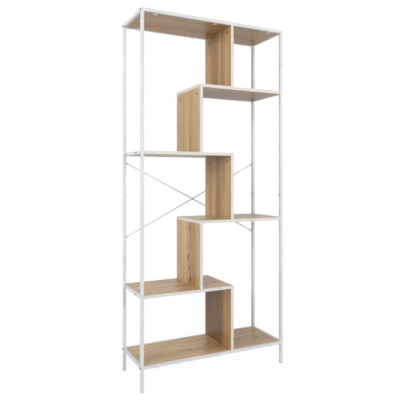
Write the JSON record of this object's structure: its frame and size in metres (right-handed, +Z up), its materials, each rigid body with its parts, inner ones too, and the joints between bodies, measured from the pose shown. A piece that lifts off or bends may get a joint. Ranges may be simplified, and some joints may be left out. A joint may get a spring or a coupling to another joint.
{
  "type": "stepped shelving unit",
  "caption": "Tall free-standing shelving unit with a slim white steel frame and oak-effect boards that step left and right between upright dividers.",
  "frame": {"origin": "on the floor, under the middle of the whole unit's outer box", "axes": "+Z up, +X to the viewer's right from the front, +Y from the front to the rear"},
  "size_m": [0.8066, 0.3052, 1.8],
  "materials": {
    "bolt_steel": "dark zinc-plated heads",
    "cam_zinc": "die-cast zinc, plated dull brown",
    "cap_plastic": "white plastic",
    "dowel_wood": "beech, unfinished",
    "foot_plastic": "light grey plastic",
    "oak_board": "light oak-effect melamine, fine grain, satin",
    "white_edge": "white edge strip, satin",
    "white_frame": "white powder coat, satin",
    "white_strip": "white paint, satin",
    "zinc_steel": "zinc-plated"
  },
  "bodies": {
    "root": {"bottom_panel": "oak_board", "bottom_panel_tabs": "white_frame", "brace_centre_rivet": "bolt_steel", "brace_end_screws": "bolt_steel", "brace_spacers": "zinc_steel", "brace_strip_falling": "white_strip", "brace_strip_rising": "white_strip", "cam_bolts": "zinc_steel", "cam_locks": "cam_zinc", "corner_bolts": "bolt_steel", "divider_1": "oak_board", "divider_1_edging": "white_edge", "divider_2": "oak_board", "divider_2_edging": "white_edge", "divider_3": "oak_board", "divider_3_edging": "white_edge", "divider_4": "oak_board", "divider_4_edging": "white_edge", "divider_5": "oak_board", "divider_5_edging": "white_edge", "dowels": "dowel_wood", "feet": "foot_plastic", "front_rail_bottom": "white_frame", "front_rail_top": "white_frame", "post_caps": "cap_plastic", "post_front_left_lower": "white_frame", "post_front_left_upper": "white_frame", "post_front_right_lower": "white_frame", "post_front_right_upper": "white_frame", "post_joint_screws": "bolt_steel", "post_rear_left_lower": "white_frame", "post_rear_left_upper": "white_frame", "post_rear_right_lower": "white_frame", "post_rear_right_upper": "white_frame", "post_sleeves": "zinc_steel", "rail_nuts": "zinc_steel", "rear_rail_bottom": "white_frame", "rear_rail_top": "white_frame", "shelf_1": "oak_board", "shelf_1_edging": "white_edge", "shelf_2": "oak_board", "shelf_2_edging": "white_edge", "shelf_3": "oak_board", "shelf_3_edging": "white_edge", "shelf_4": "oak_board", "shelf_4_edging": "white_edge", "shelf_screws": "bolt_steel", "side_rail_left_bottom": "white_frame", "side_rail_left_shelf_2": "white_frame", "side_rail_left_shelf_4": "white_frame", "side_rail_left_top": "white_frame", "side_rail_right_bottom": "white_frame", "side_rail_right_shelf_1": "white_frame", "side_rail_right_shelf_3": "white_frame", "side_rail_right_top": "white_frame", "tab_screws": "zinc_steel", "top_panel": "oak_board", "top_panel_tabs": "white_frame"}
  },
  "joints": []
}
